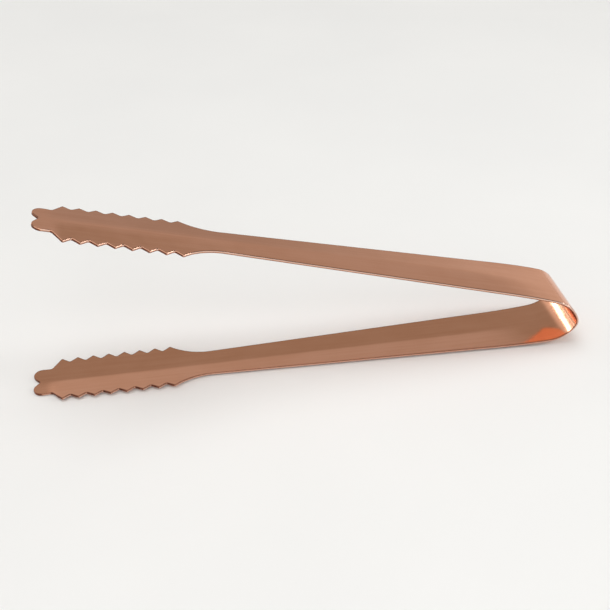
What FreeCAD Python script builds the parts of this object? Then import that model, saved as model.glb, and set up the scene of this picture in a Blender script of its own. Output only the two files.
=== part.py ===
"""Spring ice tongs: one stamped, troughed and bent steel strip, copper plated.

The strip runs from the lower tip, round a bow, to the upper tip. Distances along it are
measured from the crown of the bow, on the middle of the sheet. Every node is a section of
that strip. The sections end where the strip flexes or where its form changes.

Axes: +X towards the bow, Y across the strip, +Z up. The tongs lie on their lower arm, with
the origin under the middle of the whole object. All lengths are millimetres.
"""
import FreeCAD, Part
import math
import os

# --- sheet ---
THICKNESS = 0.8

# --- bow, seen from the side: radii of the middle of the sheet ---
NOSE_RADIUS = 3.5            # tight nose of the bow
NOSE_TURN = 27.0             # degrees turned from the crown to the end of the nose
SIDE_RADIUS = 11.3           # rounder sides of the bow
ROOT_RADIUS = 340.0          # slight bend of the arm roots
ROOT_ANGLE = 12.4            # degrees from the middle plane, where an arm root leaves the bow
ARM_ANGLE = 7.3              # degrees from the middle plane, along the straight arms

# --- plan of the flat blank ---
HALF_LENGTH = 184.8          # crown to tip, along the strip
CROWN_HALF_WIDTH = 11.6
EDGE_TAPER = 0.042           # half-width lost for each millimetre from the crown
TAB_LENGTH = 5.95            # flat tab at the tip
FRONT_FLANK = 3.3            # from the tab to the first tooth
TEETH_PER_EDGE = 8
TOOTH_PITCH = 5.17
TOOTH_HEIGHT = 2.05
TOOTH_HALF_WIDTH = 11.0      # across the tips of the teeth
FLARE_LENGTH = 13.4          # curve from the neck out to the last tooth
TAB_HALF_WIDTH = 6.5         # where the tab meets the first tooth's flank
LOBE_RADIUS = 2.95
LOBE_OFFSET = 3.7            # centre of each lobe from the centre line
NOTCH_HALF_ANGLE = 52.0      # degrees, between each side of the notch and the centre line

# --- pressed trough ---
TROUGH_RADIUS = 90.0         # inside the trough, across the strip
NEARLY_FLAT_RADIUS = 4000.0  # where the trough has faded out

# --- slit between sections that hinge on each other ---
HINGE_SLIT = 0.04

SECTIONS_PER_LOFT = 5

# --- stations along the strip, from the crown ---
NOSE_END = NOSE_RADIUS * math.radians(NOSE_TURN)
BOW_END = NOSE_END + SIDE_RADIUS * math.radians(90 - ROOT_ANGLE - NOSE_TURN)
ROOT_END = BOW_END + ROOT_RADIUS * math.radians(ROOT_ANGLE - ARM_ANGLE)
TAB_START = HALF_LENGTH - TAB_LENGTH
FIRST_TOOTH = TAB_START - FRONT_FLANK
LAST_TOOTH = FIRST_TOOTH - (TEETH_PER_EDGE - 1) * TOOTH_PITCH
NECK = LAST_TOOTH - FLARE_LENGTH


def bend_end(centre_x, centre_z, radius, turned):
    """Point on a bend once the strip has turned this many degrees from the crown."""
    angle = math.radians(turned)
    return centre_x + radius * math.cos(angle), centre_z + radius * math.sin(angle)


def next_centre(point, radius, turned):
    """Centre of the bend that carries on from this point without a kink."""
    angle = math.radians(turned)
    return point[0] - radius * math.cos(angle), point[1] - radius * math.sin(angle)


NOSE_CENTRE = (-NOSE_RADIUS, 0.0)
NOSE_END_POINT = bend_end(*NOSE_CENTRE, NOSE_RADIUS, NOSE_TURN)
SIDE_CENTRE = next_centre(NOSE_END_POINT, SIDE_RADIUS, NOSE_TURN)
BOW_END_POINT = bend_end(*SIDE_CENTRE, SIDE_RADIUS, 90 - ROOT_ANGLE)
ROOT_CENTRE = next_centre(BOW_END_POINT, ROOT_RADIUS, 90 - ROOT_ANGLE)
ROOT_END_POINT = bend_end(*ROOT_CENTRE, ROOT_RADIUS, 90 - ARM_ANGLE)


def strip_station(s):
    """x and z of the middle of the sheet in the upper half, and degrees turned there."""
    if s <= NOSE_END:
        turned = math.degrees(s / NOSE_RADIUS)
        return (*bend_end(*NOSE_CENTRE, NOSE_RADIUS, turned), turned)
    if s <= BOW_END:
        turned = NOSE_TURN + math.degrees((s - NOSE_END) / SIDE_RADIUS)
        return (*bend_end(*SIDE_CENTRE, SIDE_RADIUS, turned), turned)
    if s <= ROOT_END:
        turned = 90 - ROOT_ANGLE + math.degrees((s - BOW_END) / ROOT_RADIUS)
        return (*bend_end(*ROOT_CENTRE, ROOT_RADIUS, turned), turned)
    along = s - ROOT_END
    slope = math.radians(ARM_ANGLE)
    x = ROOT_END_POINT[0] - along * math.cos(slope)
    z = ROOT_END_POINT[1] + along * math.sin(slope)
    return x, z, 90 - ARM_ANGLE


def strip_placement(s):
    """Local frame on the strip: X towards the tip, Y across, Z outward."""
    x, z, turned = strip_station(abs(s))
    tilt = FreeCAD.Rotation(FreeCAD.Vector(0, 1, 0), 90 - turned)
    along_tip = FreeCAD.Rotation(FreeCAD.Vector(0, 0, 1), 180)
    return FreeCAD.Placement(FreeCAD.Vector(x, 0, z), tilt.multiply(along_tip))


def half_width(s):
    """Half-width of the plain arm and bow."""
    return CROWN_HALF_WIDTH - EDGE_TAPER * abs(s)


def trough_radius(s):
    """The trough fades out over the arm root."""
    if s <= BOW_END:
        return NEARLY_FLAT_RADIUS
    if s >= ROOT_END:
        return TROUGH_RADIUS
    part = (s - BOW_END) / (ROOT_END - BOW_END)
    smooth = part * part * (3 - 2 * part)
    return 1 / (smooth / TROUGH_RADIUS + (1 - smooth) / NEARLY_FLAT_RADIUS)


def cross_section(s):
    """Closed outline of the sheet across the strip at this station, in place."""
    radius = trough_radius(s)
    half = half_width(s)
    inner = radius
    outer = radius + THICKNESS
    centre_z = -radius - THICKNESS / 2

    def on_arc(arc_radius, y):
        return FreeCAD.Vector(0, y, centre_z + math.sqrt(arc_radius ** 2 - y ** 2))

    inner_arc = Part.Arc(on_arc(inner, -half), on_arc(inner, 0), on_arc(inner, half)).toShape()
    outer_arc = Part.Arc(on_arc(outer, half), on_arc(outer, 0), on_arc(outer, -half)).toShape()
    near_side = Part.makeLine(on_arc(outer, -half), on_arc(inner, -half))
    far_side = Part.makeLine(on_arc(inner, half), on_arc(outer, half))
    section = Part.Wire([inner_arc, far_side, outer_arc, near_side])
    section.Placement = strip_placement(s)
    return section


def lofted_section(start, end, count=SECTIONS_PER_LOFT):
    """Upper strip between two stations, through evenly spaced cross-sections."""
    stations = [start + (end - start) * i / (count - 1) for i in range(count)]
    return Part.makeLoft([cross_section(s) for s in stations], True)


def mirror_lower(shape):
    return shape.mirror(FreeCAD.Vector(0, 0, 0), FreeCAD.Vector(0, 0, 1))


def flare_arc_middle():
    """Middle of the curve that leaves the neck along its edge and ends on the last tooth."""
    taper = math.atan(EDGE_TAPER)
    rise = TOOTH_HALF_WIDTH - half_width(NECK)
    along = FLARE_LENGTH * math.cos(taper) - rise * math.sin(taper)
    across = rise * math.cos(taper) + FLARE_LENGTH * math.sin(taper)
    turn = 2 * math.atan2(across, along)
    radius = along / math.sin(turn)
    mid_along = radius * math.sin(turn / 2)
    mid_across = radius * (1 - math.cos(turn / 2))
    s = NECK + mid_along * math.cos(taper) + mid_across * math.sin(taper)
    y = half_width(NECK) + mid_across * math.cos(taper) - mid_along * math.sin(taper)
    return s, y


def plan_prism(edges):
    """Solid from a half outline on the +Y side, mirrored and run through the sheet."""
    depth = 2 * TOOTH_HALF_WIDTH
    half_wire = Part.Wire(edges)
    other_half = half_wire.mirror(FreeCAD.Vector(0, 0, 0), FreeCAD.Vector(0, 1, 0))
    ends = [half_wire.OrderedVertexes[0].Point, half_wire.OrderedVertexes[-1].Point]
    closing = [Part.makeLine(p, FreeCAD.Vector(p.x, -p.y, 0)) for p in ends if p.y > 1e-6]
    outline = Part.Wire(Part.sortEdges(half_wire.Edges + other_half.Edges + closing)[0])
    face = Part.Face(outline)
    face.translate(FreeCAD.Vector(0, 0, -depth / 2))
    return face.extrude(FreeCAD.Vector(0, 0, depth))


def plan_point(s, y):
    """Point of the blank, with X measured along the straight arm from its root."""
    return FreeCAD.Vector(s - ROOT_END, y, 0)


def jaw_outline():
    """Half outline of the toothed jaw, from the neck to the tab."""
    neck = plan_point(NECK, half_width(NECK))
    last_tip = plan_point(LAST_TOOTH, TOOTH_HALF_WIDTH)
    edges = [Part.Arc(neck, plan_point(*flare_arc_middle()), last_tip).toShape()]
    corner = last_tip
    for tooth in range(1, TEETH_PER_EDGE):
        tip_s = LAST_TOOTH + tooth * TOOTH_PITCH
        valley = plan_point(tip_s - TOOTH_PITCH / 2, TOOTH_HALF_WIDTH - TOOTH_HEIGHT)
        tip = plan_point(tip_s, TOOTH_HALF_WIDTH)
        edges += [Part.makeLine(corner, valley), Part.makeLine(valley, tip)]
        corner = tip
    edges.append(Part.makeLine(corner, plan_point(TAB_START, TAB_HALF_WIDTH)))
    return edges


def tab_outline():
    """Half outline of the flat tab: a straight side, one rounded lobe, half the notch."""
    lobe_s = HALF_LENGTH - LOBE_RADIUS
    notch = math.radians(NOTCH_HALF_ANGLE)

    def on_lobe(angle):
        return plan_point(lobe_s + LOBE_RADIUS * math.cos(angle),
                          LOBE_OFFSET + LOBE_RADIUS * math.sin(angle))

    inner_angle = notch - math.pi / 2
    lobe_side = on_lobe(math.pi / 2)
    lobe_inner = on_lobe(inner_angle)
    root_s = lobe_inner.x - lobe_inner.y / math.tan(notch)
    lobe = Part.Arc(lobe_side, on_lobe((math.pi / 2 + inner_angle) / 2), lobe_inner)
    return [Part.makeLine(plan_point(TAB_START, TAB_HALF_WIDTH), lobe_side),
            lobe.toShape(),
            Part.makeLine(lobe_inner, FreeCAD.Vector(root_s, 0, 0))]


def trough_bar():
    """Straight troughed sheet, wider than the jaw, along the whole straight arm."""
    length = HALF_LENGTH - ROOT_END
    axis_point = FreeCAD.Vector(0, 0, -TROUGH_RADIUS - THICKNESS / 2)
    along = FreeCAD.Vector(1, 0, 0)
    outer = Part.makeCylinder(TROUGH_RADIUS + THICKNESS, length, axis_point, along)
    inner = Part.makeCylinder(TROUGH_RADIUS, length, axis_point, along)
    wide = 2.4 * TOOTH_HALF_WIDTH
    window = Part.makeBox(length, wide, TROUGH_RADIUS, FreeCAD.Vector(0, -wide / 2, -10))
    return outer.cut(inner).common(window)


def flat_bar():
    """Flat sheet for the tab, level with the bottom of the trough."""
    length = HALF_LENGTH - ROOT_END
    wide = 2.4 * TOOTH_HALF_WIDTH
    corner = FreeCAD.Vector(0, -wide / 2, -THICKNESS / 2)
    return Part.makeBox(length, wide, THICKNESS, corner)


def on_straight_arm(shape):
    """From the blank's frame to its place on the upper arm."""
    placed = shape.copy()
    placed.Placement = strip_placement(ROOT_END)
    return placed


def lay_on_lower_arm(shape):
    """Turn and move the tongs from the middle-plane frame to the lying frame."""
    slope = math.radians(ARM_ANGLE)
    x, z = ROOT_END_POINT[0], -ROOT_END_POINT[1]
    arm_z = z * math.cos(slope) - x * math.sin(slope)
    root_x = x * math.cos(slope) + z * math.sin(slope)
    tip_x = root_x - (HALF_LENGTH - ROOT_END)
    bow_x = NOSE_RADIUS + THICKNESS / 2 - NOSE_RADIUS * math.cos(slope)
    shift = FreeCAD.Vector(-(tip_x + bow_x) / 2, 0, THICKNESS / 2 - arm_z)
    turn = FreeCAD.Rotation(FreeCAD.Vector(0, 1, 0), ARM_ANGLE)
    placed = shape.copy()
    placed.Placement = FreeCAD.Placement(shift, turn).multiply(placed.Placement)
    return placed


def bow_crown():
    """Tight nose of the bow, both halves, as one bent piece."""
    upper = lofted_section(0, NOSE_END)
    return upper.fuse(mirror_lower(upper)).removeSplitter()


def upper_sections():
    """The five sections of the upper half, from the bow to the tip."""
    arm_start = cross_section(ROOT_END + HINGE_SLIT / 2)
    return {
        "bow_side": lofted_section(NOSE_END, BOW_END - HINGE_SLIT / 2),
        "arm_root": lofted_section(BOW_END + HINGE_SLIT / 2, ROOT_END - HINGE_SLIT / 2),
        "arm": Part.makeLoft([arm_start, cross_section(NECK)], True),
        "jaw": on_straight_arm(trough_bar().common(plan_prism(jaw_outline()))),
        "tip": on_straight_arm(flat_bar().common(plan_prism(tab_outline()))),
    }


def build():
    nodes = {"bow_crown": bow_crown()}
    for name, shape in upper_sections().items():
        nodes["upper_" + name] = shape
        nodes["lower_" + name] = mirror_lower(shape)
    os.makedirs("parts", exist_ok=True)
    for name, shape in nodes.items():
        laid = lay_on_lower_arm(shape)
        solid = laid.Solids[0]
        box = solid.optimalBoundingBox()
        print(name, len(laid.Solids), solid.isValid(), round(solid.Volume, 2),
              [round(v, 3) for v in (box.XMin, box.XMax, box.YMin, box.YMax, box.ZMin, box.ZMax)])
        solid.exportStep("parts/" + name + ".step")


build()
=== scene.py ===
"""Copper-plated spring ice tongs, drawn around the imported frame.

The tongs are one steel strip. A place on it is given by s, the distance from the crown of the
bow along the middle of the sheet, and y, the distance across from the centre line. Both are in
millimetres, as is everything up to laid_down(), which turns them into metres in the row frame.
"""

import math

import bpy
import numpy as np
from mathutils import Matrix, Vector


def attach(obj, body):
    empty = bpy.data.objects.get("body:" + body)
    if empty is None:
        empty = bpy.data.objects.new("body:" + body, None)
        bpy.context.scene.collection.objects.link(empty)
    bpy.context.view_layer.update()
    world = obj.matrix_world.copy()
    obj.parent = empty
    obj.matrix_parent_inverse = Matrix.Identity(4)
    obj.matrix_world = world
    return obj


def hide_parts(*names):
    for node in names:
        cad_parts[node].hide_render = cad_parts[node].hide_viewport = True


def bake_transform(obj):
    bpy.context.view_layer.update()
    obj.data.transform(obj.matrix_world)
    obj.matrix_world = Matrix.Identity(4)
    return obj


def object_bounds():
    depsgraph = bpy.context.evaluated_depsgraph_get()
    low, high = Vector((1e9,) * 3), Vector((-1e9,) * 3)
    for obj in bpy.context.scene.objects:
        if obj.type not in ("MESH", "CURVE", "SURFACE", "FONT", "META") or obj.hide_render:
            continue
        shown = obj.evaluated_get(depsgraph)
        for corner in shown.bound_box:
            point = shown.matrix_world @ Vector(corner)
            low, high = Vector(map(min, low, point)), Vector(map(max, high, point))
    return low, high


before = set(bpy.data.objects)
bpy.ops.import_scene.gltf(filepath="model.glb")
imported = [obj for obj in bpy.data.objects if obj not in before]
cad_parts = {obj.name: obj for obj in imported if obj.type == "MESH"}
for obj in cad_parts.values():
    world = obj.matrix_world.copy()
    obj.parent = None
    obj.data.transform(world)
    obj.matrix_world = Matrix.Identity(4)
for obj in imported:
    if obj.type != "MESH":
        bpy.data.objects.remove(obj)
cad_low, cad_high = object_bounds()

MM = 0.001

# --- sheet and bends, as in the CAD ---
THICKNESS = 0.8
NOSE_RADIUS = 3.5
NOSE_TURN = math.radians(27.0)
SIDE_RADIUS = 11.3
ROOT_RADIUS = 340.0
ROOT_ANGLE = math.radians(12.4)
ARM_ANGLE = math.radians(7.3)

# --- plan of the blank, as in the CAD ---
HALF_LENGTH = 184.8
CROWN_HALF_WIDTH = 11.6
EDGE_TAPER = 0.042
TAB_LENGTH = 5.95
FRONT_FLANK = 3.3
TEETH_PER_EDGE = 8
TOOTH_PITCH = 5.17
TOOTH_HEIGHT = 2.05
TOOTH_HALF_WIDTH = 11.0
FLARE_LENGTH = 13.4
TAB_HALF_WIDTH = 6.5
LOBE_RADIUS = 2.95
LOBE_OFFSET = 3.7
NOTCH_HALF_ANGLE = math.radians(52.0)

# --- trough along the arm ---
TROUGH_SLOPE = math.tan(math.radians(4.5))   # of the two nearly flat halves of the arm
RIDGE_SOFTNESS = 1.2                         # rounding between those halves
TROUGH_FRONT = 5.0                           # length over which the trough fades into the tab
TROUGH_REACH = 2.6                           # how far past the shoulder it fades, at y = 0
TROUGH_END_BEND = 0.01                       # how much sooner it fades at y = 1
TAB_TROUGH = 0.35                            # share of the trough that is left in the tab

# --- rounding of the stamped edges, and the light and shade painted on them ---
TOOTH_TIP_ROUNDING = 0.45
TOOTH_VALLEY_ROUNDING = 0.75
SHOULDER_ROUNDING = 1.2
NOTCH_ROUNDING = 0.3
OUTER_ROUNDING = 0.25                  # edge drawn down by the punch
INNER_ROUNDING = 0.07                  # edge left nearly sharp by the die
EDGE_STEPS = 4                         # lines of points round each of those roundings

# cut_edge is 0 on the faces. It rises to 1 on the outer side of the edge round the bow, and falls to -1
# on the inner side, where the sheet tore. The colours it picks paint light and shade on the edges.
EDGE_SHADE = 0.15                      # where a face meets its rounding, for the painted shade line
PAINTED_HIGHLIGHT_LEVEL = 0.65                   # away from the bow, for the painted highlight on the rounding
PAINTED_WALL_SHADE_FADE = 3.0                    # length over which the painted dark wall round the bow gives way
FLANK_FADE = 0.5                       # length over which the painted shade on the flanks starts
FLANK_LEAN = 0.3                       # part of the edge's direction that puts painted shade on a flank

NOSE_END = NOSE_RADIUS * NOSE_TURN
BOW_END = NOSE_END + SIDE_RADIUS * (math.pi / 2 - ROOT_ANGLE - NOSE_TURN)
ROOT_END = BOW_END + ROOT_RADIUS * (ROOT_ANGLE - ARM_ANGLE)
ROOT_MIDDLE = (BOW_END + ROOT_END) / 2
TAB_START = HALF_LENGTH - TAB_LENGTH
FIRST_TOOTH = TAB_START - FRONT_FLANK
LAST_TOOTH = FIRST_TOOTH - (TEETH_PER_EDGE - 1) * TOOTH_PITCH
NECK = LAST_TOOTH - FLARE_LENGTH

COLUMNS = 18                           # across half the strip
FLARE_POINTS = 26
FLARE_POINTS_CUT = 3                   # at its end, where the last tooth's rounding takes over
SAME_POINT = 2e-4                      # points no farther apart than this are welded


# ---------------------------------------------------------------- the bent strip

def bend_point(centre, radius, turned):
    return centre[0] + radius * np.cos(turned), centre[1] + radius * np.sin(turned)


def next_centre(point, radius, turned):
    return point[0] - radius * math.cos(turned), point[1] - radius * math.sin(turned)


NOSE_CENTRE = (-NOSE_RADIUS, 0.0)
SIDE_CENTRE = next_centre(bend_point(NOSE_CENTRE, NOSE_RADIUS, NOSE_TURN), SIDE_RADIUS, NOSE_TURN)
ROOT_TURN = math.pi / 2 - ROOT_ANGLE
ROOT_CENTRE = next_centre(bend_point(SIDE_CENTRE, SIDE_RADIUS, ROOT_TURN), ROOT_RADIUS, ROOT_TURN)
ARM_TURN = math.pi / 2 - ARM_ANGLE
ARM_START = bend_point(ROOT_CENTRE, ROOT_RADIUS, ARM_TURN)


def centre_line(s):
    """x, z and radians turned, in the upper half, with the crown at the origin."""
    nose = s / NOSE_RADIUS
    side = NOSE_TURN + (s - NOSE_END) / SIDE_RADIUS
    root = ROOT_TURN + (s - BOW_END) / ROOT_RADIUS
    along = s - ROOT_END
    arm_x = ARM_START[0] - along * math.cos(ARM_ANGLE)
    arm_z = ARM_START[1] + along * math.sin(ARM_ANGLE)
    zones = [s <= NOSE_END, s <= BOW_END, s <= ROOT_END]
    nose_x, nose_z = bend_point(NOSE_CENTRE, NOSE_RADIUS, nose)
    side_x, side_z = bend_point(SIDE_CENTRE, SIDE_RADIUS, side)
    root_x, root_z = bend_point(ROOT_CENTRE, ROOT_RADIUS, root)
    x = np.select(zones, [nose_x, side_x, root_x], arm_x)
    z = np.select(zones, [nose_z, side_z, root_z], arm_z)
    turned = np.select(zones, [nose, side, root], ARM_TURN)
    return x, z, turned


def smooth_step(value):
    part = np.clip(value, 0, 1)
    return part * part * (3 - 2 * part)


def trough_depth(s, y):
    """How far the sheet falls away from its ridge, and the slope across it there.

    It is flat round the bow, full along the arm, and shallow again in the tab.
    """
    rise = smooth_step((s - BOW_END) / (ROOT_END - BOW_END))
    front = TAB_START + TROUGH_REACH - TROUGH_END_BEND * y ** 2
    fall = TAB_TROUGH + (1 - TAB_TROUGH) * smooth_step((front - s) / TROUGH_FRONT)
    reach = np.sqrt(y ** 2 + RIDGE_SOFTNESS ** 2)
    full = rise * fall * TROUGH_SLOPE
    return full * (reach - RIDGE_SOFTNESS), full * y / reach


def sheet_point(s, y, depth):
    """Point of the sheet. depth runs outward from its middle."""
    x, z, turned = centre_line(s)
    dip, slope = trough_depth(s, y)
    lean = np.arctan(slope)
    out = depth * np.cos(lean) - dip
    across = y + depth * np.sin(lean)
    return np.stack([x + out * np.cos(turned), across, z + out * np.sin(turned)], -1)


def unit(vectors):
    return vectors / np.linalg.norm(vectors, axis=-1, keepdims=True)


def sheet_axes(s, y, depth):
    """Unit vectors of the sheet here: towards the tip, across, and outward."""
    step = 0.01
    along = unit(sheet_point(s + step, y, depth) - sheet_point(s - step, y, depth))
    across = unit(sheet_point(s, y + step, depth) - sheet_point(s, y - step, depth))
    return along, across, unit(np.cross(across, along))


def laid_down(points, side):
    """From the middle-plane frame in mm to the row frame in metres, lying on the lower arm."""
    x, y, z = points[..., 0], points[..., 1], points[..., 2] * side
    cos, sin = math.cos(ARM_ANGLE), math.sin(ARM_ANGLE)
    arm_z = -ARM_START[1] * cos - ARM_START[0] * sin
    tip_x = ARM_START[0] * cos - ARM_START[1] * sin - (HALF_LENGTH - ROOT_END)
    bow_x = NOSE_RADIUS + THICKNESS / 2 - NOSE_RADIUS * cos
    laid_x = x * cos + z * sin - (tip_x + bow_x) / 2
    laid_z = z * cos - x * sin + THICKNESS / 2 - arm_z
    return np.stack([laid_x, y, laid_z], -1) * MM


def laid_normals(normals, side):
    origin = laid_down(np.zeros(3), side)
    return unit(laid_down(normals, side) - origin)


def strip_place(s, side):
    """Point on the centre line of the strip, in the row frame."""
    return Vector(laid_down(sheet_point(np.array(s), np.array(0.0), 0.0), side))


# ---------------------------------------------------------------- outline of the blank

def half_width(s):
    return CROWN_HALF_WIDTH - EDGE_TAPER * s


def edge_shade_level(s):
    """1 round the bow, where the edge's wall is painted dark as shade, and less elsewhere, where its
    rounding gets a painted highlight.
    """
    wall_shade = smooth_step((BOW_END + PAINTED_WALL_SHADE_FADE - s) / PAINTED_WALL_SHADE_FADE)
    return PAINTED_HIGHLIGHT_LEVEL + (1 - PAINTED_HIGHLIGHT_LEVEL) * wall_shade


def shaded_flank(s, towards_tip):
    """1 on the flanks of the teeth that face the tip.

    Their walls get painted shade, while the flanks that face the bow keep the painted highlight.
    """
    return smooth_step((s - LAST_TOOTH) / FLANK_FADE) * smooth_step(towards_tip / FLANK_LEAN)


def rounded(before, corner, after, radius, steps=6):
    """The corner's points, as an arc of this radius tangent to both sides."""
    before, corner, after = (np.array(p, float) for p in (before, corner, after))
    back, ahead = unit(before - corner), unit(after - corner)
    half_angle = math.acos(np.clip(back @ ahead, -1, 1)) / 2
    centre = corner + unit(back + ahead) * radius / math.sin(half_angle)
    first = corner + back * radius / math.tan(half_angle) - centre
    last = corner + ahead * radius / math.tan(half_angle) - centre
    turn = math.atan2(first[0] * last[1] - first[1] * last[0], first @ last)
    points = []
    for step in range(steps + 1):
        angle = turn * step / steps
        cos, sin = math.cos(angle), math.sin(angle)
        points.append(centre + [cos * first[0] - sin * first[1], sin * first[0] + cos * first[1]])
    return points


def flare():
    """Curve from the neck, along its edge, out to the last tooth."""
    taper = math.atan(EDGE_TAPER)
    rise = TOOTH_HALF_WIDTH - half_width(NECK)
    along = FLARE_LENGTH * math.cos(taper) - rise * math.sin(taper)
    across = rise * math.cos(taper) + FLARE_LENGTH * math.sin(taper)
    turn = 2 * math.atan2(across, along)
    radius = along / math.sin(turn)
    points = []
    for angle in np.linspace(0, turn, FLARE_POINTS):
        forward, outward = radius * math.sin(angle), radius * (1 - math.cos(angle))
        s = NECK + forward * math.cos(taper) + outward * math.sin(taper)
        y = half_width(NECK) + outward * math.cos(taper) - forward * math.sin(taper)
        points.append(np.array([s, y]))
    return points


def lobe_point(angle):
    s = HALF_LENGTH - LOBE_RADIUS + LOBE_RADIUS * math.cos(angle)
    return np.array([s, LOBE_OFFSET + LOBE_RADIUS * math.sin(angle)])


def jaw_edge():
    """Toothed edge from the neck to the tab."""
    curve = flare()
    corners = [curve[-1 - FLARE_POINTS_CUT], (LAST_TOOTH, TOOTH_HALF_WIDTH)]
    for tooth in range(1, TEETH_PER_EDGE):
        tip_s = LAST_TOOTH + tooth * TOOTH_PITCH
        corners.append((tip_s - TOOTH_PITCH / 2, TOOTH_HALF_WIDTH - TOOTH_HEIGHT))
        corners.append((tip_s, TOOTH_HALF_WIDTH))
    corners.append((TAB_START, TAB_HALF_WIDTH))
    corners.append(tuple(lobe_point(math.pi / 2)))
    points = curve[:-FLARE_POINTS_CUT]
    for i in range(1, len(corners) - 1):
        is_tip = corners[i][1] == TOOTH_HALF_WIDTH
        radius = TOOTH_TIP_ROUNDING if is_tip else TOOTH_VALLEY_ROUNDING
        if i == len(corners) - 2:
            radius = SHOULDER_ROUNDING
        points += rounded(corners[i - 1], corners[i], corners[i + 1], radius)
    return np.array(points)


def evenly(points, count):
    """The same path, as this many points spaced evenly along it."""
    points = np.array(points, float)
    steps = np.linalg.norm(np.diff(points, axis=0), axis=1)
    travelled = np.concatenate([[0], np.cumsum(steps)])
    wanted = np.linspace(0, travelled[-1], count)
    return np.stack([np.interp(wanted, travelled, points[:, i]) for i in (0, 1)], -1)


def notch_path():
    """One side of the notch, from its root on the centre line to the lobe's end."""
    inner_angle = NOTCH_HALF_ANGLE - math.pi / 2
    start = lobe_point(inner_angle)
    root = np.array([start[0] - start[1] / math.tan(NOTCH_HALF_ANGLE), 0.0])
    arc = rounded(start, root, start * [1, -1], NOTCH_ROUNDING, steps=12)
    half_arc = [p for p in arc if p[1] >= -1e-9][::-1]
    half_arc[0] = np.array([half_arc[0][0], 0.0])
    lobe = [lobe_point(a) for a in np.linspace(inner_angle, 0, 24)]
    return half_arc + lobe


# ---------------------------------------------------------------- plates

class HalfPlate:
    """Half the strip's width between two stations, as rows from the centre line to the edge.

    outer holds each row's edge point and inner the point where the row starts, which is on
    the centre line except beside the notch, where open_from says that an edge begins. before
    and after are the outline's next points, which give its direction at the ends.
    """

    def __init__(self, outer, inner, open_from=None, before=None, after=None):
        self.points, self.normals, self.edge, self.faces = [], [], [], []
        self.count = 0
        path = list(outer)
        if open_from is not None:
            path += list(inner[open_from:-1])[::-1]
        path = np.array(path)
        first = path[0] if before is None else before
        last = path[-1] if after is None else after
        padded = np.array([first, *path, last])
        tangent = unit(padded[2:] - padded[:-2])
        outward = np.stack([-tangent[:, 1], tangent[:, 0]], -1)
        if open_from is not None:
            outward[-1] = (1, 0)
        rows = len(outer)
        half = THICKNESS / 2
        surfaces = []
        for rounding, depth in ((OUTER_ROUNDING, half), (INNER_ROUNDING, -half)):
            inset = path - rounding * outward
            start = np.array(inner, float)
            if open_from is not None:
                start[open_from:-1] = inset[rows:][::-1]
                start[-1] = inset[rows - 1]
            share = np.linspace(0, 1, COLUMNS + 1)[None, :, None]
            grid = start[:, None] * (1 - share) + inset[:rows, None] * share
            surfaces.append(self.add_surface(grid, depth, open_from))
        top, bottom = surfaces
        rings = [self.add_ring(path, outward, i) for i in range(2 * EDGE_STEPS)]
        for a, b in zip(rings, rings[1:]):
            self.bridge(a, b)
        self.cover(top, False)
        self.cover(bottom, True)
        self.close_end(top[0], bottom[0], [r[0] for r in rings], True)
        if open_from is None:
            self.close_end(top[-1], bottom[-1], [r[rows - 1] for r in rings], False)

    def add(self, points, normals, edge):
        shape = points.shape[:-1]
        size = int(np.prod(shape))
        self.points.append(points.reshape(-1, 3))
        self.normals.append(normals.reshape(-1, 3))
        self.edge.append(np.broadcast_to(edge, shape).ravel())
        self.count += size
        return np.arange(self.count - size, self.count).reshape(shape)

    def add_surface(self, grid, depth, open_from):
        s, y = grid[..., 0], grid[..., 1]
        sign = math.copysign(1, depth)
        # each face's border starts the painted shade line along the edge
        edge = np.zeros(s.shape)
        edge[:, -1] = EDGE_SHADE * sign
        if open_from is not None:
            edge[open_from:, 0] = EDGE_SHADE * sign
        return self.add(sheet_point(s, y, depth), sheet_axes(s, y, depth)[2] * sign, edge)

    def add_ring(self, path, outward, index):
        """One line of the rounded cut edge. Lines run from the outer face to the inner one."""
        on_top = index < EDGE_STEPS
        rounding = OUTER_ROUNDING if on_top else INNER_ROUNDING
        step = index if on_top else 2 * EDGE_STEPS - 1 - index
        angle = math.pi / 2 * (1 - step / (EDGE_STEPS - 1))
        inset = rounding * (1 - math.cos(angle))
        height = THICKNESS / 2 - rounding * (1 - math.sin(angle))
        sign = 1 if on_top else -1
        place = path - inset * outward
        s, y = place[:, 0], place[:, 1]
        along, across, out = sheet_axes(s, y, height * sign)
        in_plane = along * outward[:, :1] + across * outward[:, 1:]
        normal = unit(in_plane * math.cos(angle) + out * math.sin(angle) * sign)
        # painted light on the edge: dark shade on tooth flanks that face the tip, elsewhere a highlight
        # or, round the bow, a dark wall
        usual_edge_value = np.maximum(EDGE_SHADE, edge_shade_level(s) * step / (EDGE_STEPS - 1)) * sign
        shaded_flank_value = EDGE_SHADE if on_top and step < EDGE_STEPS - 1 else -1
        flank_shade = shaded_flank(s, outward[:, 0])
        edge = usual_edge_value * (1 - flank_shade) + shaded_flank_value * flank_shade
        return self.add(sheet_point(s, y, height * sign), normal, edge)

    def bridge(self, a, b):
        self.faces += [(a[i], b[i], b[i + 1], a[i + 1]) for i in range(len(a) - 1)]

    def cover(self, grid, flip):
        for i in range(grid.shape[0] - 1):
            for j in range(grid.shape[1] - 1):
                quad = (grid[i, j], grid[i, j + 1], grid[i + 1, j + 1], grid[i + 1, j])
                self.faces.append(quad[::-1] if flip else quad)

    def close_end(self, top, bottom, ring, is_start):
        ends = [(top[j], bottom[j], bottom[j + 1], top[j + 1]) for j in range(len(top) - 1)]
        ends.append(tuple(ring[::-1]))
        self.faces += ends if is_start else [f[::-1] for f in ends]


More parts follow.
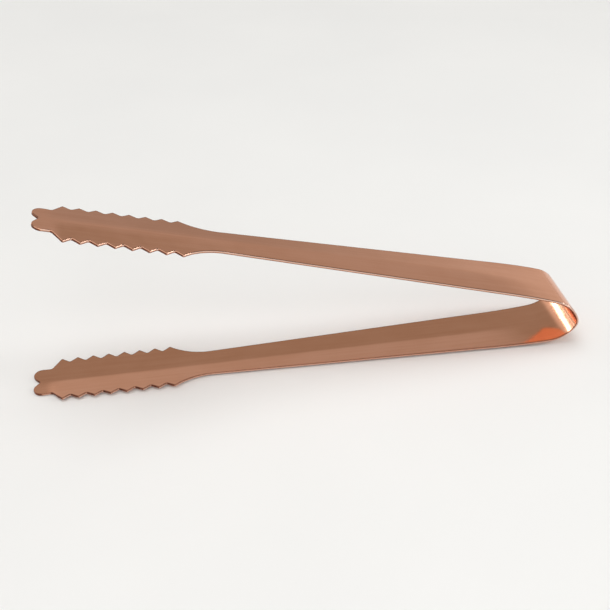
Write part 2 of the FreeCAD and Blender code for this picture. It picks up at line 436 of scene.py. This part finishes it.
def plate_object(name, halves, side, material):
    """One closed mesh from half plates, mirrored across the centre line and welded."""
    points, normals, edge, faces = [], [], [], []
    offset = 0
    for half in halves:
        for hand in (1, -1):
            mirror = np.array([1, hand, 1])
            points.append(laid_down(np.concatenate(half.points) * mirror, side))
            normals.append(laid_normals(np.concatenate(half.normals) * mirror, side))
            edge.append(np.concatenate(half.edge))
            flip = hand * side < 0
            for face in half.faces:
                moved = [i + offset for i in face]
                faces.append(moved[::-1] if flip else moved)
            offset += half.count
    points, normals, edge = map(np.concatenate, (points, normals, edge))
    keys = np.round(points / (SAME_POINT * MM)).astype(np.int64)
    _, first, weld = np.unique(keys, axis=0, return_index=True, return_inverse=True)
    weld = weld.ravel()
    clean = []
    for face in faces:
        merged = [weld[i] for i in face]
        merged = [v for i, v in enumerate(merged) if v != merged[i - 1]]
        if len(set(merged)) >= 3:
            clean.append(merged)
    mesh = bpy.data.meshes.new(name)
    mesh.from_pydata(points[first].tolist(), [], clean)
    mesh.validate()
    mesh.update()
    mesh.shade_smooth()
    mesh.normals_split_custom_set_from_vertices(normals[first].tolist())
    # value per point that picks the painted light and shade of the edges
    edge_paint = mesh.attributes.new("cut_edge", "FLOAT", "POINT")
    edge_paint.data.foreach_set("value", edge[first].astype(np.float32))
    mesh.materials.append(material)
    obj = bpy.data.objects.new(name, mesh)
    bpy.context.scene.collection.objects.link(obj)
    return obj


def straight_rows(stations):
    outer = np.array([(s, half_width(s)) for s in stations])
    inner = np.array([(s, 0.0) for s in stations])
    return outer, inner


def strip_half_plate(start, end, spacing):
    stations = np.linspace(start, end, int(math.ceil((end - start) / spacing)) + 1)
    outer, inner = straight_rows(stations)
    before = np.array([start - 1, half_width(start - 1)])
    after = np.array([end + 1, half_width(end + 1)])
    return HalfPlate(outer, inner, before=before, after=after)


def jaw_half_plate():
    edge = jaw_edge()
    outer = edge[edge[:, 0] <= TAB_START]
    inner = outer * [1, 0]
    before = np.array([NECK - 0.4, half_width(NECK - 0.4)])
    after = edge[len(outer)]
    return HalfPlate(outer, inner, before=before, after=after)


def tip_half_plate():
    """The tab. Its last rows run from the notch to the lobe's edge and meet at the lobe's end."""
    edge = jaw_edge()
    first = int(np.sum(edge[:, 0] <= TAB_START)) - 1
    shoulder = list(edge[first:])
    lobe_side = lobe_point(math.pi / 2)
    side = list(evenly([shoulder[-1], lobe_side], 10))[1:]
    plain_outer = shoulder + side
    plain_inner = [p * [1, 0] for p in plain_outer]
    notch = notch_path()
    split = math.radians(72)               # where on the lobe the rows leave the centre line
    gap_rows, lobe_rows = 4, 30
    gap_outer = [lobe_point(a) for a in np.linspace(math.pi / 2, split, gap_rows + 1)][1:]
    gap_inner = evenly([plain_inner[-1], notch[0]], gap_rows + 1)[1:]
    lobe_outer = [lobe_point(a) for a in np.linspace(split, 0, lobe_rows + 1)][1:]
    lobe_inner = evenly(notch, lobe_rows + 1)[1:]
    outer = np.array([*plain_outer, *gap_outer, *lobe_outer])
    inner = np.array([*plain_inner, *gap_inner, *lobe_inner])
    open_from = len(plain_inner) + gap_rows - 1
    return HalfPlate(outer, inner, open_from=open_from, before=edge[first - 1])


# ---------------------------------------------------------------- materials

class Nodes:
    """Short hand for adding shader nodes to one tree."""

    def __init__(self, tree):
        self.tree = tree

    def add(self, kind, settings=(), **inputs):
        node = self.tree.nodes.new(kind)
        for name, value in dict(settings).items():
            setattr(node, name, value)
        for name, value in inputs.items():
            self.feed(node, name.replace("_", " "), value)
        return node

    def feed(self, node, socket, value):
        target = node.inputs[socket]
        if isinstance(value, bpy.types.NodeSocket):
            self.tree.links.new(value, target)
        else:
            target.default_value = value

    def combine(self, operation, a, b=0.0):
        node = self.tree.nodes.new("ShaderNodeMath")
        node.operation = operation
        self.feed(node, 0, a)
        self.feed(node, 1, b)
        return node.outputs[0]

    def between(self, value, low, high, to_low, to_high):
        node = self.add("ShaderNodeMapRange", {"interpolation_type": "SMOOTHSTEP"}, Value=value)
        limits = {"From Min": low, "From Max": high, "To Min": to_low, "To Max": to_high}
        for socket, number in limits.items():
            self.feed(node, socket, number)
        return node.outputs[0]

    def blend(self, share, a, b):
        node = self.add("ShaderNodeMix", {"data_type": "RGBA"})
        self.feed(node, 0, share)
        self.feed(node, 6, a)
        self.feed(node, 7, b)
        return node.outputs[2]

    def noise(self, place, stretch, detail, roughness=0.5):
        """Noise with this many ripples to the metre along x, y and z."""
        mapping = self.add("ShaderNodeMapping", Vector=place, Scale=stretch)
        node = self.add("ShaderNodeTexNoise", Vector=mapping.outputs[0], Scale=1.0)
        self.feed(node, "Detail", detail)
        self.feed(node, "Roughness", roughness)
        return node.outputs["Fac"]

    def bump(self, height, distance, normal=None):
        node = self.add("ShaderNodeBump", Height=height, Strength=1.0, Distance=distance)
        if normal is not None:
            self.feed(node, "Normal", normal)
        return node.outputs[0]


def new_material(name):
    material = bpy.data.materials.new(name)
    material.use_nodes = True
    return material, material.node_tree.nodes["Principled BSDF"], Nodes(material.node_tree)


COPPER_DARK = (0.835, 0.4, 0.245, 1)
COPPER_LIGHT = (0.885, 0.44, 0.28, 1)
GRAZING_TINT = (0.9, 0.86, 0.84, 1)
PAINTED_SHADE_LINE = (0.3, 0.17, 0.12, 1)
PAINTED_EDGE_HIGHLIGHT = (0.88, 0.62, 0.52, 1)
PAINTED_WALL_SHADE = (0.3, 0.16, 0.11, 1)
# torn metal of the edge walls, darkened further as painted shade
TEAR_AND_SHADE_DARK = (0.11, 0.035, 0.022, 1)
TEAR_AND_SHADE_LIGHT = (0.27, 0.1, 0.06, 1)


def copper_plate():
    """Bright copper plating over stamped steel, polished along the strip, with light and shade painted
    on its edges.
    """
    material, shader, nodes = new_material("copper_plate")
    place = nodes.add("ShaderNodeTexCoord").outputs["Object"]
    cut = nodes.add("ShaderNodeAttribute", {"attribute_name": "cut_edge"}).outputs["Fac"]

    cloud = nodes.noise(place, (60, 90, 60), 3)
    fine_lines = nodes.noise(place, (90, 5200, 90), 2)
    wide_lines = nodes.noise(place, (25, 900, 25), 2)
    ripple = nodes.noise(place, (160, 110, 160), 1)
    scratches = nodes.between(nodes.noise(place, (300, 7000, 300), 4, 0.65), 0.66, 0.74, 0, 1)

    clouded = nodes.combine("MULTIPLY", cloud, 0.55)
    streaked = nodes.combine("ADD", clouded, nodes.combine("MULTIPLY", wide_lines, 0.45))
    tone = nodes.between(streaked, 0.35, 0.65, 0, 1)
    plate = nodes.blend(tone, COPPER_DARK, COPPER_LIGHT)
    # painted shade: a dark line where each face meets its rounding
    shade_line = nodes.between(nodes.combine("ABSOLUTE", cut), 0.04, 0.16, 0, 0.65)
    rim = nodes.blend(shade_line, plate, PAINTED_SHADE_LINE)
    # painted highlight: pale copper on the outer rounding of the edges
    edge_highlight = nodes.between(cut, 0.25, 0.55, 0, 1)
    rim = nodes.blend(edge_highlight, rim, PAINTED_EDGE_HIGHLIGHT)
    # painted shade: dark wall on the edge round the bow
    wall_shade = nodes.between(cut, 0.75, 1.0, 0, 1)
    rim = nodes.blend(wall_shade, rim, PAINTED_WALL_SHADE)
    # torn metal on the inner side of the wall, painted darker as shade
    tear_and_shade = nodes.between(cut, -0.1, -0.55, 0, 1)
    patchy = nodes.between(nodes.noise(place, (700, 700, 2500), 3), 0.35, 0.65, 0, 1)
    tear_and_shade_colour = nodes.blend(patchy, TEAR_AND_SHADE_DARK, TEAR_AND_SHADE_LIGHT)
    nodes.feed(shader, "Base Color", nodes.blend(tear_and_shade, rim, tear_and_shade_colour))

    shader.inputs["Metallic"].default_value = 1.0
    shader.inputs["Specular Tint"].default_value = GRAZING_TINT
    polish = nodes.combine("ADD", nodes.combine("MULTIPLY", wide_lines, 0.07), 0.06)
    rough = nodes.combine("ADD", polish, nodes.combine("MULTIPLY", scratches, 0.08))
    rough = nodes.combine("ADD", rough, nodes.combine("MULTIPLY", cloud, 0.03))
    nodes.feed(shader, "Roughness", nodes.combine("ADD", rough, nodes.combine("MULTIPLY", tear_and_shade, 0.25)))

    waves = nodes.bump(ripple, 60e-6)
    lines = nodes.bump(fine_lines, 0.8e-6, waves)
    nodes.feed(shader, "Normal", nodes.bump(scratches, 1.0e-6, lines))
    return material


def floor_material():
    material, shader, nodes = new_material("pale_floor")
    place = nodes.add("ShaderNodeTexCoord").outputs["Object"]
    grain = nodes.noise(place, (9, 9, 9), 4)
    shade = nodes.between(grain, 0.2, 0.8, 0, 1)
    nodes.feed(shader, "Base Color", nodes.blend(shade, (0.84, 0.84, 0.84, 1), (0.87, 0.868, 0.865, 1)))
    nodes.feed(shader, "Roughness", nodes.combine("ADD", nodes.combine("MULTIPLY", grain, 0.1), 0.65))
    return material


# ---------------------------------------------------------------- studio

def sine(degrees):
    return math.sin(math.radians(degrees))


def studio_world():
    """Soft surround, dim overhead and lighter low down, most of all towards the bow and the tips."""
    world = bpy.data.worlds.new("studio")
    bpy.context.scene.world = world
    world.use_nodes = True
    nodes = Nodes(world.node_tree)
    facing = nodes.add("ShaderNodeTexCoord").outputs["Generated"]
    split = nodes.add("ShaderNodeSeparateXYZ", Vector=facing)
    to_bow, height = split.outputs["X"], split.outputs["Z"]
    near_horizon = nodes.between(height, sine(28), sine(8), 0, 1)
    low = nodes.blend(near_horizon, (0.47, 0.47, 0.465, 1), (0.37, 0.37, 0.36, 1))
    tip_side = nodes.between(to_bow, 0.2, -0.1, 0, 1)
    low = nodes.blend(tip_side, low, (0.53, 0.53, 0.52, 1))
    bow_side = nodes.combine("MULTIPLY", near_horizon, nodes.between(to_bow, 0.2, 0.65, 0, 1))
    low = nodes.blend(bow_side, low, (0.71, 0.7, 0.67, 1))
    past_tips = nodes.between(to_bow, -0.05, -0.35, 0, 1)
    low = nodes.blend(past_tips, low, (0.8, 0.79, 0.77, 1))
    overhead = nodes.between(height, sine(29), sine(37), 0, 1)
    colour = nodes.blend(overhead, low, (0.355, 0.345, 0.315, 1))
    nodes.feed(world.node_tree.nodes["Background"], "Color", colour)


def softbox(name, place, target, width, height, radiance):
    """Soft light of this brightness per area, seen by reflections but not by the camera."""
    data = bpy.data.lights.new(name, "AREA")
    data.shape = "RECTANGLE"
    data.size = width
    data.size_y = height
    data.energy = radiance * math.pi * width * height
    lamp = bpy.data.objects.new(name, data)
    bpy.context.scene.collection.objects.link(lamp)
    lamp.location = place
    lamp.rotation_euler = (Vector(place) - Vector(target)).to_track_quat("Z", "Y").to_euler()
    lamp.visible_camera = False


def direction(azimuth, elevation):
    """Unit vector. azimuth runs from +Y towards +X."""
    a, e = math.radians(azimuth), math.radians(elevation)
    return Vector((math.sin(a) * math.cos(e), math.cos(a) * math.cos(e), math.sin(e)))


def studio_lights():
    """Broad light from above, and cards whose reflections light up the bow and the teeth."""
    bow_place = Vector((cad_high[0], 0, 0.01))
    middle = (0, 0, 0.03)
    softbox("overhead", (-0.2, 0.2, 1.8), (0, 0, 0), 1.5, 1.5, 2.25)
    softbox("back_card", bow_place + 1.3 * direction(-36.5, 18), bow_place, 0.075, 0.5, 7)
    softbox("low_card", bow_place + 1.3 * direction(-40, 5.5), bow_place, 0.16, 0.06, 2.2)
    softbox("side_card", 0.8 * direction(97, 24), middle, 0.1, 0.32, 13)
    softbox("front_card", 0.9 * direction(180, 42), middle, 0.5, 0.5, 2.2)


def place_camera():
    data = bpy.data.cameras.new("camera")
    data.lens = 66.584
    data.sensor_width = 36
    data.clip_start = 0.005
    camera = bpy.data.objects.new("camera", data)
    bpy.context.scene.collection.objects.link(camera)
    place = Vector((-0.053622, -0.306952, 0.223509))
    turn_right, look_down, roll = (math.radians(a) for a in (9.7815, 33.1913, -0.8477))
    turned = Matrix.Rotation(-turn_right, 4, "Z")
    tilted = Matrix.Rotation(math.pi / 2 - look_down, 4, "X")
    rolled = Matrix.Rotation(roll, 4, "Z")
    camera.matrix_world = Matrix.Translation(place) @ turned @ tilted @ rolled
    bpy.context.scene.camera = camera


# ---------------------------------------------------------------- build

copper = copper_plate()

nose_half = strip_half_plate(0, NOSE_END, 0.12)
nose = plate_object("bow_nose", [nose_half], 1, copper)
nose_lower = plate_object("bow_nose_lower", [nose_half], -1, copper)
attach(nose, "bow")
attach(nose_lower, "bow")
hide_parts("bow_crown")

for word, side in (("upper", 1), ("lower", -1)):
    spring, grip = word + "_spring", word + "_grip"
    bow = plate_object(word + "_bow_bend",
                       [strip_half_plate(NOSE_END, BOW_END, 0.4),
                        strip_half_plate(BOW_END, ROOT_MIDDLE, 1.0)],
                       side, copper)
    arm = plate_object(word + "_arm_blade",
                       [strip_half_plate(ROOT_MIDDLE, ROOT_END, 1.0),
                        strip_half_plate(ROOT_END, NECK, 2.0)],
                       side, copper)
    jaw = plate_object(word + "_jaw_plate", [jaw_half_plate()], side, copper)
    tip = plate_object(word + "_tip_plate", [tip_half_plate()], side, copper)
    strip_place(NOSE_END + 1, side)
    strip_place(ROOT_MIDDLE - 1, side)
    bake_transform(bow)
    strip_place(ROOT_MIDDLE + 1, side)
    strip_place(ROOT_END + 20, side)
    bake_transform(arm)
    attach(jaw, grip)
    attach(tip, grip)
    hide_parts(word + "_bow_side", word + "_arm_root")
    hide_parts(word + "_arm")
    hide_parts(word + "_jaw")
    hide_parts(word + "_tip")

bpy.ops.mesh.primitive_plane_add(size=4)
floor = bpy.context.object
floor.name = "floor"
floor.data.materials.append(floor_material())

studio_world()
studio_lights()
place_camera()
bpy.context.scene.view_settings.view_transform = "Standard"
